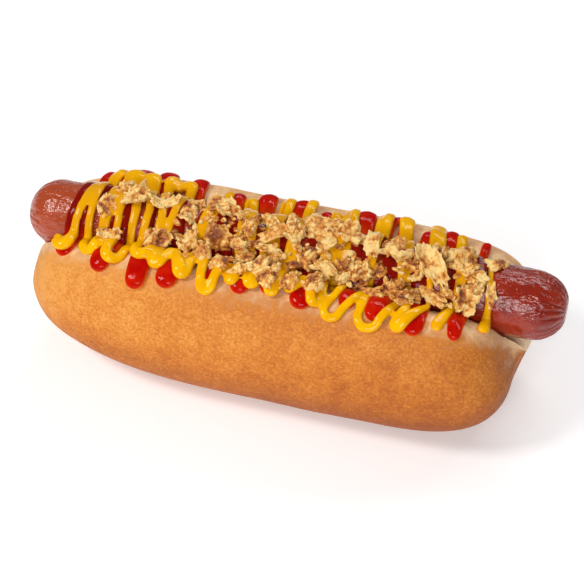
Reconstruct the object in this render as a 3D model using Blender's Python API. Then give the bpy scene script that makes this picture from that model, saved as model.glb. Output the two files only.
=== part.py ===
"""Hot dog: a soft roll split from above, a frankfurter in it, two sauces piped across, and fried onions.

X runs along the hot dog, -Y is its front and Z is up. The roll lies on its flat sole at Z = 0. The sauces and
the onions are laid on by resting a ball on whatever is already there, so each layer clears the one below it.
"""

import bmesh
import bpy
import numpy as np
from mathutils import Vector
from mathutils.bvhtree import BVHTree

# Driving dimensions, in metres.
SAUSAGE_LENGTH = 0.184
SAUSAGE_RADIUS = 0.0113
SAUSAGE_HEIGHT = 0.0440  # of its axis above the table
BUN_LENGTH = 0.169
BUN_SHIFT = -0.0050  # of the roll along X, under the sausage
GAP = 0.0003  # kept between pieces that touch

# The roll's cross-section, one lobe from the slot's floor round to the sole.
SLOT_RADIUS = SAUSAGE_RADIUS + 0.0005
SLOT_ANGLES = (0, 27, 54, 81)  # where the slot's wall follows the sausage, in degrees from straight down
LOBE_POINTS = (  # from the slot's lip outwards: (out from the middle, height)
    (0.0150, 0.0468),
    (0.0215, 0.0484),
    (0.0290, 0.0456),
    (0.0350, 0.0360),
    (0.0375, 0.0250),
    (0.0347, 0.0120),
    (0.0261, 0.0025),
    (0.0140, -0.0010),
    (0.0000, -0.0015),
)
END_HEIGHT = 0.0240  # of the roll's two end points
FRONT_ROUNDNESS = (3.4, 4.2)  # exponents of the superelliptic ends at -X and +X: of the front lobe's top,
BACK_ROUNDNESS = (6.0, 4.8)  # of the back lobe's top,
SIDE_ROUNDNESS = (3.0, 4.6)  # of the plan outline,
SOLE_ROUNDNESS = (2.5, 3.6)  # and of the underside
BACK_LOBE = (1.01, 0.96)  # the back lobe's rise as a share of the front one's, towards -X and elsewhere,
BACK_LOBE_SPAN = (-0.060, -0.015)  # and the stations between which it changes
FRONT_LEAN = (0.0035, 0.0060)  # how far the front lobe's top is drawn in at -X and +X,
BACK_LEAN = (0.0, 0.0035)  # and the back lobe's
LEAN_START = 0.75  # share of the way to an end where it begins
LEAN_HEIGHT = 0.0250  # below which nothing is drawn in,
LEAN_RISE = 0.0160  # and how far above that it is drawn in fully
LEAN_BLEND = 0.0200  # width in Y over which the two lobes' leans blend
BUN_STATIONS = 25
SAUSAGE_SIDES = 20
SAUSAGE_END_RINGS = 6

# Toppings are placed by X and by an angle round this centre line: 0 is straight up, and minus is the front.
SPREAD_HEIGHT = 0.020
SPREAD_REACH = 0.060  # where a ball starts, well outside everything
SPREAD_ARM = SAUSAGE_HEIGHT + SAUSAGE_RADIUS - SPREAD_HEIGHT  # turns an angle into a length

# Each sauce zigzags between its turns: (X in mm, angle in degrees, width of the turn in mm). A width of 0 is a
# plain point on the way.
KETCHUP_TURNS = (
    (-71, 38, 0), (-72, -38, 2.0), (-62, 36, 5.0), (-57.5, -42.5, 1.6), (-51.5, 36.5, 0.8), (-43.5, -47, 2.2),
    (-40, 37, 0.8), (-33, -45.5, 2.6), (-24.5, 34, 0.8), (-22, -40, 2.0), (-14, 38, 2.4), (-9.5, -41.5, 2.0),
    (-1.2, 38, 2.6), (1, -38, 1.4), (7.2, 33.5, 0.6), (11.5, -41.5, 2.2), (20.5, 40, 2.2), (24, -38, 2.0),
    (31.5, 40, 4.0), (35, -41, 2.2), (42.3, 35, 1.0), (47, -44, 2.2), (49.3, 39, 0.8), (59.3, -42, 0.6),
    (61.5, 40, 0),
)
MUSTARD_TURNS = (
    (-75.5, -31, 0), (-73.5, -34, 4.0), (-69.8, -24, 0), (-67.5, 0, 0), (-67, 36, 1.7), (-65, -35.5, 5.0),
    (-61.5, 35, 3.7), (-56.5, -37.5, 5.0), (-56, 35, 1.0), (-47.5, -35, 5.0), (-48.5, 36, 2.0),
    (-39, -36.5, 4.6), (-41.5, 35.5, 0.6), (-30, -40, 2.4), (-27.4, 32, 0.6), (-20.5, -45.5, 4.6),
    (-19.4, 34, 1.0), (-12, -40.5, 4.4), (-7.1, 36, 1.4), (-4, -39, 4.0), (1.8, 36, 0.6), (4.5, -39, 5.0),
    (11, 33.5, 1.0), (14, -41, 4.6), (15.5, 40, 1.4), (22.5, -46, 3.6), (26.4, 39, 2.4), (33.5, -47, 7.0),
    (34.2, 37, 2.8), (43, -45, 2.4), (44.8, 41, 1.8), (54, -39.5, 0.8), (53.5, 36, 1.0), (58.5, -25, 1.0),
    (62.5, 27, 5.0), (67.7, -37, 0),
)
KETCHUP_HALF_WIDTH = 0.0023
KETCHUP_HALF_HEIGHT = 0.0012
MUSTARD_HALF_WIDTH = 0.0018
MUSTARD_HALF_HEIGHT = 0.0010
PATH_STEP = 0.0007
TURN_POINTS = 9  # in each turn
LEAST_TURN = 0.0024  # width of the tightest turn
STRAND_GAP = 0.0002  # left between two strands of one sauce, or inside a turn
LEAST_HALF_WIDTH = 0.0006
DRAPE_PASSES = 6  # of smoothing, where a string bridges a dip
WIDTH_PASSES = 2  # and where its width changes
SAUCE_OUTLINE = ((-1, -1), (1, -1), (1, 1), (-1, 1))  # a string's corners: (sideways, up)
STRAIGHTENING = 0.00045  # how far a sauce's facets may stray from its smooth line
TURN_FINENESS = 1.5  # times less than that along X, so that the turns stay round

# The onion heap's uneven outline: (X in mm, front edge and back edge in degrees, thickness in mm).
HEAP_ROWS = (
    (-37, -29, -6, 2.5), (-32, -31, 8, 3.5), (-22, -34, 10, 4), (-13, -34, 3, 3.5), (-4, -37, 0, 4),
    (3, -37, 4, 4), (10, -36, 11, 4), (19, -34, 3, 4), (26, -33, 0, 3), (34, -33, -3, 3), (42, -33, -5, 3.5),
    (50, -26, 0, 3), (57, -27, 0, 3), (64, -27, -3, 2.5),
)
# Larger flakes lying on their own: (X from, X to, in mm, front edge and back edge in degrees).
FLAKES = (
    (-64.5, -58, -16, -5), (-60, -52, -30, -20), (-56.5, -48.5, -8, 5), (-47, -40.5, -8, 4),
    (-46, -39, -30, -14), (66, 72, -2, 9),
)
HEAP_LANES = 8
HEAP_STEP = 0.0027
FLAKE_THICKNESS = 1.8
ONION_BALL = 0.0008  # radius of the ball that finds what the onions rest on
ONION_PROBES = (-1, -0.5, 0, 0.5, 1)  # where it falls round each point, in cells of the layer's grid
ONION_SLACK = 0.0003  # how far the facets below an onion may sag


def clear_scene():
    for old in list(bpy.data.objects):
        bpy.data.objects.remove(old, do_unlink=True)


def finish(name, color, roughness):
    """A plain material for one kind of piece."""
    material = bpy.data.materials.new(name)
    material.use_nodes = True
    shader = material.node_tree.nodes["Principled BSDF"]
    shader.inputs["Base Color"].default_value = (*color, 1)
    shader.inputs["Roughness"].default_value = roughness
    shader.inputs["Metallic"].default_value = 0
    return material


def closed_spline(points, steps):
    """Catmull-Rom curve through a closed ring of points, with this many steps between them."""
    ring = np.asarray(points, float)
    a, b, c, d = (np.roll(ring, -shift, 0)[:, None, :] for shift in (-1, 0, 1, 2))
    t = (np.arange(steps) / steps)[None, :, None]
    curve = 0.5 * (2 * b + (c - a) * t + (2 * a - 5 * b + 4 * c - d) * t**2 + (3 * b - a - 3 * c + d) * t**3)
    return curve.reshape(-1, ring.shape[1])


def add_mesh(name, points, faces, material):
    """One smooth-shaded object from points and consistently ordered faces, turned to face outwards."""
    mesh = bpy.data.meshes.new(name)
    mesh.from_pydata(points.tolist(), [], faces)
    shell = bmesh.new()
    shell.from_mesh(mesh)
    if shell.calc_volume(signed=True) < 0:
        bmesh.ops.reverse_faces(shell, faces=shell.faces)
    shell.to_mesh(mesh)
    shell.free()
    mesh.shade_smooth()
    mesh.materials.append(material)
    piece = bpy.data.objects.new(name, mesh)
    bpy.context.scene.collection.objects.link(piece)
    return piece


def loft(name, rings, material):
    """A closed body through rings of equal length, capped at both ends."""
    count, around = rings.shape[:2]
    index = np.arange(count * around).reshape(count, around)
    beside = np.roll(index, -1, 1)
    faces = np.stack([index[:-1], beside[:-1], beside[1:], index[1:]], -1).reshape(-1, 4).tolist()
    faces += [index[0, ::-1].tolist(), index[-1].tolist()]
    return add_mesh(name, rings.reshape(-1, 3), faces, material)


def push_clear(points, radius):
    """Points nearer to the sausage's axis than this radius are moved straight out to it."""
    out = points.copy()
    across, above = points[..., 1], points[..., 2] - SAUSAGE_HEIGHT
    grow = np.maximum(1.0, radius / np.maximum(np.hypot(across, above), 1e-9))
    out[..., 1] = across * grow
    out[..., 2] = SAUSAGE_HEIGHT + above * grow
    return out


def end_taper(x, roundness):
    """The roll's relative size at these stations: a superellipse with its own exponent towards each end."""
    share = np.abs(2 * x / BUN_LENGTH)
    exponent = np.where(x < 0, *roundness)
    return ((1 - share**exponent) ** (1 / exponent))[:, None]


def lean(x, across, height):
    """How far the lobes' tops are drawn in at the ends, from the stations, the section's Y and the height."""
    near = np.clip((np.abs(2 * x / BUN_LENGTH) - LEAN_START) / (1 - LEAN_START), 0, 1) ** 2
    front, back = (np.where(x < 0, -shift[0], shift[1]) for shift in (FRONT_LEAN, BACK_LEAN))
    share = np.clip(0.5 - across / LEAN_BLEND, 0, 1)
    return near * (back + (front - back) * share) * np.clip((height - LEAN_HEIGHT) / LEAN_RISE, 0, 1)


def make_bun():
    """The split roll: one U-shaped section that shrinks to the end points, with its slot kept open."""
    angles = np.radians(SLOT_ANGLES)
    wall = SLOT_RADIUS * np.column_stack([np.sin(angles), -np.cos(angles)]) + (0, SAUSAGE_HEIGHT)
    half = np.concatenate([wall, LOBE_POINTS])
    ring = closed_spline(np.concatenate([half[:-1], half[:0:-1] * (-1, 1)]), 2)
    across, rise = ring[None, :, 0], ring[None, :, 1] - END_HEIGHT
    x = BUN_LENGTH / 2 * np.sin(np.linspace(-0.5, 0.5, BUN_STATIONS + 2)[1:-1] * np.pi)
    back = np.interp(x, BACK_LOBE_SPAN, BACK_LOBE)[:, None] * end_taper(x, BACK_ROUNDNESS)
    top = np.where(across < 0, end_taper(x, FRONT_ROUNDNESS), back)
    rings = np.zeros((len(x), len(ring), 3))
    rings[..., 0] = x[:, None] + BUN_SHIFT
    rings[..., 1] = across * end_taper(x, SIDE_ROUNDNESS)
    rings[..., 2] = END_HEIGHT + rise * np.where(rise > 0, top, end_taper(x, SOLE_ROUNDNESS))
    rings[..., 0] -= lean(x[:, None], across, rings[..., 2])
    rings = push_clear(rings, SLOT_RADIUS)
    rings[..., 2] = np.maximum(rings[..., 2], 0)
    return loft("bun", rings, finish("golden_crust", (0.72, 0.36, 0.12), 0.6))


def make_sausage():
    """The frankfurter: a straight tube with rounded ends."""
    latitude = np.linspace(0, np.pi / 2, SAUSAGE_END_RINGS + 1)[:-1]
    tip_x = SAUSAGE_LENGTH / 2 - SAUSAGE_RADIUS * (1 - np.sin(latitude))
    x = np.concatenate([-tip_x[::-1], tip_x])
    radius = SAUSAGE_RADIUS * np.cos(np.concatenate([latitude[::-1], latitude]))
    angle = np.linspace(0, 2 * np.pi, SAUSAGE_SIDES, endpoint=False)
    rings = np.zeros((len(x), len(angle), 3))
    rings[..., 0] = x[:, None]
    rings[..., 1] = radius[:, None] * np.cos(angle)
    rings[..., 2] = SAUSAGE_HEIGHT + radius[:, None] * np.sin(angle)
    return loft("sausage", rings, finish("smoked_skin", (0.25, 0.03, 0.02), 0.3))


def outward(angle):
    """The direction that leaves the spread centre line at this angle."""
    return np.stack([np.zeros_like(angle), np.sin(angle), np.cos(angle)], -1)


def place(x, angle, distance):
    """Points at this distance from the spread centre line."""
    centre = np.stack([x, np.zeros_like(x), np.full_like(x, SPREAD_HEIGHT)], -1)
    return centre + outward(angle) * distance[..., None]


def trees_of(pieces):
    """Nearest-point searches on the pieces that are there already."""
    graph = bpy.context.evaluated_depsgraph_get()
    return [BVHTree.FromObject(piece, graph) for piece in pieces]


def rest_distance(trees, start, angle, radius):
    """How far out from its start a ball comes to rest when it falls towards the spread centre line.

    It steps in by the free space round it until it touches.
    """
    way = Vector((0, np.sin(angle), np.cos(angle)))
    origin = Vector(start)
    distance = SPREAD_REACH
    free = 1.0
    while free > 1e-5:
        free = min(tree.find_nearest(origin + way * distance)[3] for tree in trees) - radius
        distance -= free
    return distance


def zigzag(turns):
    """(X, angle) along a zigzag with round turns, every PATH_STEP or so."""
    corners = []
    for x, degrees, width in turns:
        angle = np.radians(degrees)
        bend = max(width / 1000, LEAST_TURN) / 2 if width else 0
        swing = np.radians(np.linspace(-90, 90, TURN_POINTS))
        back = np.sign(angle) * bend / SPREAD_ARM * (1 - np.cos(swing))
        corners.append(np.column_stack([x / 1000 + bend * np.sin(swing), angle - back]))
    corners = np.concatenate(corners)
    length = np.concatenate([[0], np.cumsum(np.hypot(*(np.diff(corners, axis=0) * (1, SPREAD_ARM)).T))])
    along = np.linspace(0, length[-1], int(length[-1] / PATH_STEP))
    return np.interp(along, length, corners[:, 0]), np.interp(along, length, corners[:, 1])


def smooth(values, passes):
    """Repeated three-point averages, with the two ends held."""
    out = values.copy()
    for _ in range(passes):
        out[1:-1] = (out[:-2] + 2 * out[1:-1] + out[2:]) / 4
    return out


def simplified(path, tolerance):
    """The indices of the points that keep a path within this tolerance of its smooth line."""
    keep, spans = {0, len(path) - 1}, [(0, len(path) - 1)]
    while spans:
        first, last = spans.pop()
        if last - first < 2:
            continue
        chord = path[last] - path[first]
        offset = path[first + 1 : last] - path[first]
        along = np.clip(offset @ chord / max(chord @ chord, 1e-18), 0, 1)
        stray = np.linalg.norm(offset - along[:, None] * chord, axis=1)
        worst = int(stray.argmax())
        if stray[worst] > tolerance:
            keep.add(first + 1 + worst)
            spans += [(first, first + 1 + worst), (first + 1 + worst, last)]
    return sorted(keep)


def room(x, angle):
    """Half the free width at each station of a path.

    It is the radius of the smallest circle that touches the path there and passes through another of its
    stations: the bend's own radius in a turn, and half the spacing between two strands.
    """
    flat = np.column_stack([x, angle * SPREAD_ARM])
    way = np.gradient(flat, axis=0)
    way /= np.linalg.norm(way, axis=1)[:, None]
    apart = flat[None] - flat[:, None]
    aside = np.abs(apart[..., 0] * way[:, None, 1] - apart[..., 1] * way[:, None, 0])
    circle = (apart**2).sum(-1) / (2 * np.maximum(aside, 1e-9))
    np.fill_diagonal(circle, np.inf)
    return circle.min(1)


def pipe_sauce(name, turns, half_width, half_height, below, material):
    """One string of sauce, laid in a zigzag over the pieces below it, wider than it is high."""
    x, angle = zigzag(turns)
    flat = place(x, angle, np.full_like(x, SAUSAGE_HEIGHT))
    run = np.gradient(flat, axis=0)
    side = np.cross(run, outward(angle))
    side /= np.linalg.norm(side, axis=1)[:, None]
    trees = trees_of(below)
    centre = place(x, angle, np.zeros_like(x))
    radius = half_height + GAP + STRAIGHTENING
    rests = [
        [rest_distance(trees, start, turn, radius) for start, turn in zip(centre + side * shift, angle)]
        for shift in (half_height - half_width, 0, half_width - half_height)
    ]
    distance = np.max(rests, axis=0)
    distance = np.maximum(distance, smooth(distance, DRAPE_PASSES))
    path = place(x, angle, distance)
    reach = smooth(np.clip(room(x, angle) - STRAND_GAP, LEAST_HALF_WIDTH, half_width), WIDTH_PASSES)
    kept = simplified(path * (TURN_FINENESS, 1, 1), STRAIGHTENING)
    path, up, side = path[kept], outward(angle)[kept], side[kept]
    corner = half_height * np.sqrt(0.5)
    out = side * (reach[kept] - half_height + corner)[:, None]
    rings = np.stack([path + out * across + up * corner * rise for across, rise in SAUCE_OUTLINE], 1)
    return loft(name, rings, material)


def lay_onion(name, rows, lanes, below, material, chance):
    """A lumpy layer of onion from rows of (X, front edge, back edge, thickness), in metres and radians."""
    x, front, back, thickness = rows.T
    lane = np.linspace(0, 1, lanes)
    angle = front[:, None] + (back - front)[:, None] * lane
    station = np.repeat(x[:, None], lanes, 1)
    cell_x = np.abs(np.gradient(x)).max()
    trees = trees_of(below)
    floor = np.zeros(angle.shape)
    for i, j in np.ndindex(angle.shape):
        starts = [(x[i] + cell_x * probe, 0, SPREAD_HEIGHT) for probe in ONION_PROBES]
        turns = angle[i, j] + (back[i] - front[i]) / (lanes - 1) * np.array(ONION_PROBES)
        floor[i, j] = max(rest_distance(trees, start, turn, ONION_BALL) for start in starts for turn in turns)
    floor += GAP + ONION_SLACK - ONION_BALL
    rim = np.minimum(1, 0.25 + 3 * np.minimum(lane, 1 - lane))
    ceiling = floor + thickness[:, None] * rim * chance.uniform(0.7, 1.15, angle.shape)
    under, over = place(station, angle, floor), place(station, angle, ceiling)
    rings = np.concatenate([under, over[:, ::-1]], 1)
    return loft(name, rings, material)


def make_onions(below):
    """The heap over the sausage, and the larger flakes that lie beside it."""
    material = finish("fried_onion", (0.80, 0.50, 0.22), 0.75)
    chance = np.random.default_rng(4)
    table = np.array(HEAP_ROWS, float)
    x = np.arange(table[0, 0], table[-1, 0] + 0.1, HEAP_STEP * 1000)
    heap = np.column_stack([x, *(np.interp(x, table[:, 0], table[:, column]) for column in (1, 2, 3))])
    heap[:, 1:3] += chance.uniform(-1.5, 1.5, (len(heap), 2))
    scale = (0.001, np.pi / 180, np.pi / 180, 0.001)
    lay_onion("onion_heap", heap * scale, HEAP_LANES, below, material, chance)
    for number, (start, stop, front, back) in enumerate(FLAKES, 1):
        x = np.linspace(start, stop, 5)
        spread = np.array([0.55, 0.9, 1, 0.85, 0.5]) * (back - front) / 2
        middle = (front + back) / 2
        rows = np.column_stack([x, middle - spread, middle + spread, np.full_like(x, FLAKE_THICKNESS)])
        lay_onion(f"onion_flake_{number:02d}", rows * scale, 4, below, material, chance)


def main():
    clear_scene()
    bun = make_bun()
    sausage = make_sausage()
    ketchup = pipe_sauce(
        "ketchup", KETCHUP_TURNS, KETCHUP_HALF_WIDTH, KETCHUP_HALF_HEIGHT, [bun, sausage],
        finish("ketchup_red", (0.60, 0.02, 0.01), 0.2),
    )
    mustard = pipe_sauce(
        "mustard", MUSTARD_TURNS, MUSTARD_HALF_WIDTH, MUSTARD_HALF_HEIGHT, [bun, sausage, ketchup],
        finish("mustard_yellow", (0.85, 0.50, 0.01), 0.25),
    )
    make_onions([bun, sausage, ketchup, mustard])


main()
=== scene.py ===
"""Finishes the hot dog: baked crust, glossy sausage skin, wet piped sauces and crisp fried onions.

X runs along the hot dog, -Y is its front and Z is up, all in metres. Every piece takes its place from the
plain model, and covers the node of the same kind.
"""

import logging
import math
from dataclasses import dataclass, field
from enum import Enum

import bpy
import numpy as np
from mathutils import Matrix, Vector


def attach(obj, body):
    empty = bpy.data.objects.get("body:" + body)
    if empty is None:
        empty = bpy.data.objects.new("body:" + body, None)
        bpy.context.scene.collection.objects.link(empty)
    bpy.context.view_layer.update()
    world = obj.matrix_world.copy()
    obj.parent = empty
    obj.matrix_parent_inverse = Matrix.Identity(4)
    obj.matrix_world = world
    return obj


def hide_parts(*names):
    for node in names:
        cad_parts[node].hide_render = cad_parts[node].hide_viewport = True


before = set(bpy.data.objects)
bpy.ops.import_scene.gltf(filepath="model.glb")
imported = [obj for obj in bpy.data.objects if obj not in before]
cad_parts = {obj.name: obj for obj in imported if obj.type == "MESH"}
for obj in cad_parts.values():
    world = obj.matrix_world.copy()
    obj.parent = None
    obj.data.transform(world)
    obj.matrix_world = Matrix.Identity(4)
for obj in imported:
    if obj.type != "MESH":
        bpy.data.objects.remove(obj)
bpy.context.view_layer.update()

MM = 0.001
LOG = logging.getLogger("hot_dog")

CELL_FACTORS = (73856093, 19349663, 83492791)
SEED_FACTOR = 2654435761
MIX_ROUNDS = ((16, 2246822519), (13, 3266489917), (16, 668265263))
ALL_BITS = 0xFFFFFFFF


# ------------------------------------------------------------------------------
# Whole-array helpers
# ------------------------------------------------------------------------------


def lattice_value(cells: np.ndarray, seed: int) -> np.ndarray:
    """Random numbers from -1 to 1 that depend only on whole-number cells.

    The three cell numbers and the seed are multiplied by large odd numbers, added, and their bits mixed.

    Args:
        cells: whole numbers, with three in the last axis.
        seed: picks another set of numbers.

    Returns:
        One number for each cell.
    """
    keys = cells.astype(np.int64) * np.array(CELL_FACTORS)
    bits = (keys.sum(-1) + seed * SEED_FACTOR) & ALL_BITS
    for shift, factor in MIX_ROUNDS:
        bits = ((bits ^ (bits >> shift)) * factor) & ALL_BITS
    return (bits / ALL_BITS) * 2 - 1


def noise(points: np.ndarray, size: float, seed: int) -> np.ndarray:
    """Smooth noise from -1 to 1 with lumps of about the given size.

    Each point takes the values at the eight corners of its cell, blended by 3t^2 - 2t^3 along each axis.

    Args:
        points: positions, with three in the last axis.
        size: the edge of a cell, in the points' units.
        seed: picks another noise.

    Returns:
        One value for each point.
    """
    scaled = points / size
    corner = np.floor(scaled)
    part = scaled - corner
    part = part * part * (3 - 2 * part)
    total = np.zeros(points.shape[:-1])
    for step in np.ndindex(2, 2, 2):
        offset = np.array(step)
        weight = np.where(offset == 1, part, 1 - part).prod(-1)
        total += weight * lattice_value(corner + offset, seed)
    return total


def rough_noise(points: np.ndarray, size: float, octaves: int, seed: int) -> np.ndarray:
    """Noise with finer and finer layers: each has half the size and half the height of the one before.

    Args:
        points: positions, with three in the last axis.
        size: the size of the coarsest lumps.
        octaves: how many layers are added.
        seed: picks another noise.

    Returns:
        One value for each point, from about -1 to 1.
    """
    layers = [noise(points, size / 2**k, seed + 31 * k) / 2**k for k in range(octaves)]
    return np.sum(layers, axis=0) / 1.5


def bubbles(points: np.ndarray, size: float, seed: int) -> np.ndarray:
    """Round domes about scattered points, 1 at each top and 0 in the valleys between.

    Each cell of a grid holds one point, up to 0.4 cells from its middle along each axis. A place's height is
    1 - d^2 / 0.6, where d is the distance to the nearest point of the 27 cells around it, in cells.

    Args:
        points: positions, with three in the last axis.
        size: the edge of a cell, in the points' units.
        seed: picks another scatter.

    Returns:
        One height for each position.
    """
    wander, reach = 0.4, 0.6
    scaled = points / size
    corner = np.floor(scaled)
    nearest = np.full(points.shape[:-1], np.inf)
    for step in np.ndindex(3, 3, 3):
        cell = corner + np.array(step) - 1
        spot = np.stack([lattice_value(cell, seed + axis) for axis in range(3)], -1) * wander + 0.5
        nearest = np.minimum(nearest, ((cell + spot - scaled) ** 2).sum(-1))
    return np.clip(1 - nearest / reach, 0, 1)


def ease(value: np.ndarray, low: float, high: float) -> np.ndarray:
    """0 below low, 1 above high, and 3t^2 - 2t^3 between; low may be the larger."""
    t = np.clip((value - low) / (high - low), 0, 1)
    return t * t * (3 - 2 * t)


def soften(values: np.ndarray, passes: int) -> np.ndarray:
    """Repeated (1, 2, 1) averages along the first axis, with both ends held."""
    out = values.copy()
    for _ in range(passes):
        out[1:-1] = (out[:-2] + 2 * out[1:-1] + out[2:]) / 4
    return out


def unit(vectors: np.ndarray) -> np.ndarray:
    """The vectors divided by their lengths."""
    return vectors / np.maximum(np.linalg.norm(vectors, axis=-1, keepdims=True), 1e-12)


def tube_faces(rings: int, around: int, bodies: int = 1) -> list[np.ndarray]:
    """Faces of closed bodies, each made of rings of points with a flat cap at both ends.

    Point k of ring i joins point k + 1 and ring i + 1, and the rings of one body follow those of the one
    before.

    Args:
        rings: the number of rings in a body.
        around: the number of points in a ring.
        bodies: the number of equal bodies.

    Returns:
        An array of four-point faces and an array of caps.
    """
    index = np.arange(bodies * rings * around).reshape(bodies, rings, around)
    beside = np.roll(index, -1, 2)
    walls = np.stack([index[:, :-1], beside[:, :-1], beside[:, 1:], index[:, 1:]], -1).reshape(-1, 4)
    caps = np.concatenate([index[:, 0, ::-1], index[:, -1]])
    return [walls, caps]


@dataclass
class Surface:
    """A finished surface: its points, its faces in one array per number of corners, and its marks."""

    points: np.ndarray
    faces: list[np.ndarray]
    marks: dict[str, np.ndarray] = field(default_factory=dict)

    def outward(self) -> "Surface":
        """The same surface, with every face turned round if its enclosed volume comes out negative."""
        points = self.points.reshape(-1, 3)
        quads = points[self.faces[0]]
        crossed = np.cross(quads[:, 1], quads[:, 2]) + np.cross(quads[:, 2], quads[:, 3])
        if (quads[:, 0] * crossed).sum() < 0:
            return Surface(self.points, [faces[:, ::-1] for faces in self.faces], self.marks)
        return self

    def piece(self, name: str, material: bpy.types.Material) -> bpy.types.Object:
        """Makes the object, with its place in its mesh.

        Args:
            name: the object's name.
            material: its finish.

        Returns:
            The new object, in the scene.
        """
        mesh = bpy.data.meshes.new(name)
        points = np.asarray(self.points, np.float32).reshape(-1, 3)
        corners = np.concatenate([faces.ravel() for faces in self.faces]).astype(np.int32)
        sizes = np.concatenate([np.full(len(faces), faces.shape[1]) for faces in self.faces])
        starts = np.concatenate([[0], np.cumsum(sizes)[:-1]]).astype(np.int32)
        mesh.vertices.add(len(points))
        mesh.vertices.foreach_set("co", points.ravel())
        mesh.loops.add(len(corners))
        mesh.loops.foreach_set("vertex_index", corners)
        mesh.polygons.add(len(sizes))
        mesh.polygons.foreach_set("loop_start", starts)
        for mark, values in self.marks.items():
            layer = mesh.attributes.new(mark, "FLOAT", "POINT")
            layer.data.foreach_set("value", np.asarray(values, np.float32).ravel())
        mesh.update(calc_edges=True)
        mesh.shade_smooth()
        mesh.materials.append(material)
        made = bpy.data.objects.new(name, mesh)
        bpy.context.scene.collection.objects.link(made)
        return made


# ------------------------------------------------------------------------------
# Finishes
# ------------------------------------------------------------------------------

Colour = tuple[float, float, float]


class Shade:
    """A number in a material's nodes. Plain arithmetic on it adds Math nodes."""

    def __init__(self, tree: bpy.types.NodeTree, socket: bpy.types.NodeSocket) -> None:
        """Keeps the socket and the tree that it is in."""
        self.tree = tree
        self.socket = socket

    def _maths(self, operation: str, first: "Shade | float", second: "Shade | float") -> "Shade":
        """Adds one Math node.

        Args:
            operation: the node's operation.
            first: its first value.
            second: its second value.

        Returns:
            The node's result.
        """
        node = self.tree.nodes.new("ShaderNodeMath")
        node.operation = operation
        for slot, value in zip(node.inputs, (first, second)):
            if isinstance(value, Shade):
                self.tree.links.new(value.socket, slot)
            else:
                slot.default_value = value
        return Shade(self.tree, node.outputs[0])

    def __add__(self, other: "Shade | float") -> "Shade":
        """The sum."""
        return self._maths("ADD", self, other)

    def __radd__(self, other: float) -> "Shade":
        """The sum."""
        return self._maths("ADD", other, self)

    def __sub__(self, other: "Shade | float") -> "Shade":
        """The difference."""
        return self._maths("SUBTRACT", self, other)

    def __rsub__(self, other: float) -> "Shade":
        """The difference, from a plain number."""
        return self._maths("SUBTRACT", other, self)

    def __mul__(self, other: "Shade | float") -> "Shade":
        """The product."""
        return self._maths("MULTIPLY", self, other)

    def __rmul__(self, other: float) -> "Shade":
        """The product."""
        return self._maths("MULTIPLY", other, self)


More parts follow.
